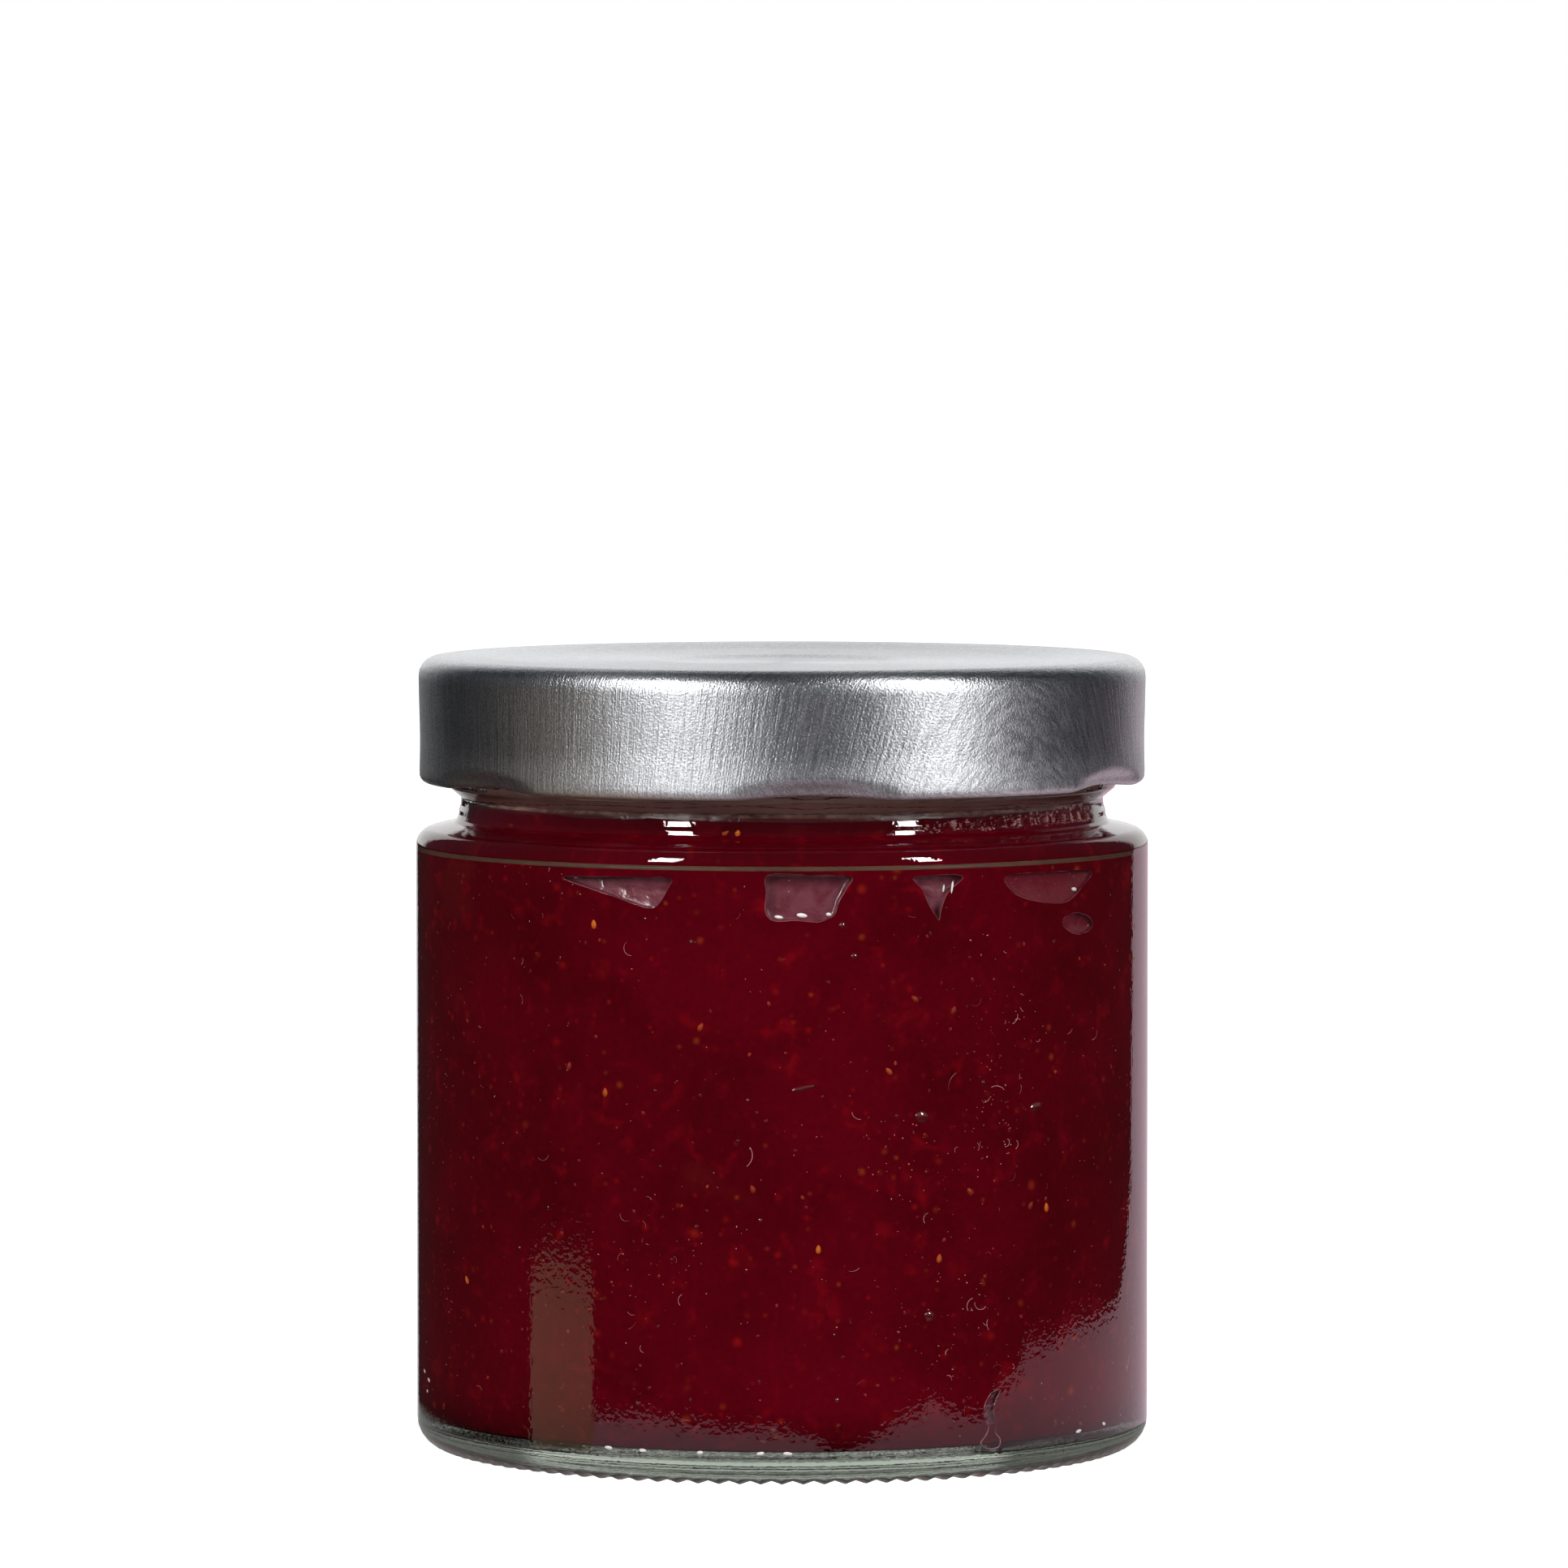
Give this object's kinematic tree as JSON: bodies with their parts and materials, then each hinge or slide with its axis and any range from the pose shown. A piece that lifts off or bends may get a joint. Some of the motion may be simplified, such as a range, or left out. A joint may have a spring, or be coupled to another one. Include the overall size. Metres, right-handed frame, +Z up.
{
  "type": "jar of jam with a twist-off lid",
  "caption": "Straight-sided clear glass jar filled with dark red seeded jam and closed with a deep brushed metal twist-off lid.",
  "frame": {"origin": "centre of the plane that the jar stands on", "axes": "+Z up along the jar's axis, -Y towards the shown side"},
  "size_m": [0.086, 0.086, 0.093],
  "materials": {
    "clear_glass": "smooth clear soda glass",
    "lid_metal": "silver lacquered tinplate with a fine straight grain",
    "red_jam": "wet, dark red, with seeds and fruit pulp"
  },
  "bodies": {
    "root": {"glass_jar": "clear_glass", "lid": "lid_metal", "jam": "red_jam"}
  },
  "joints": []
}
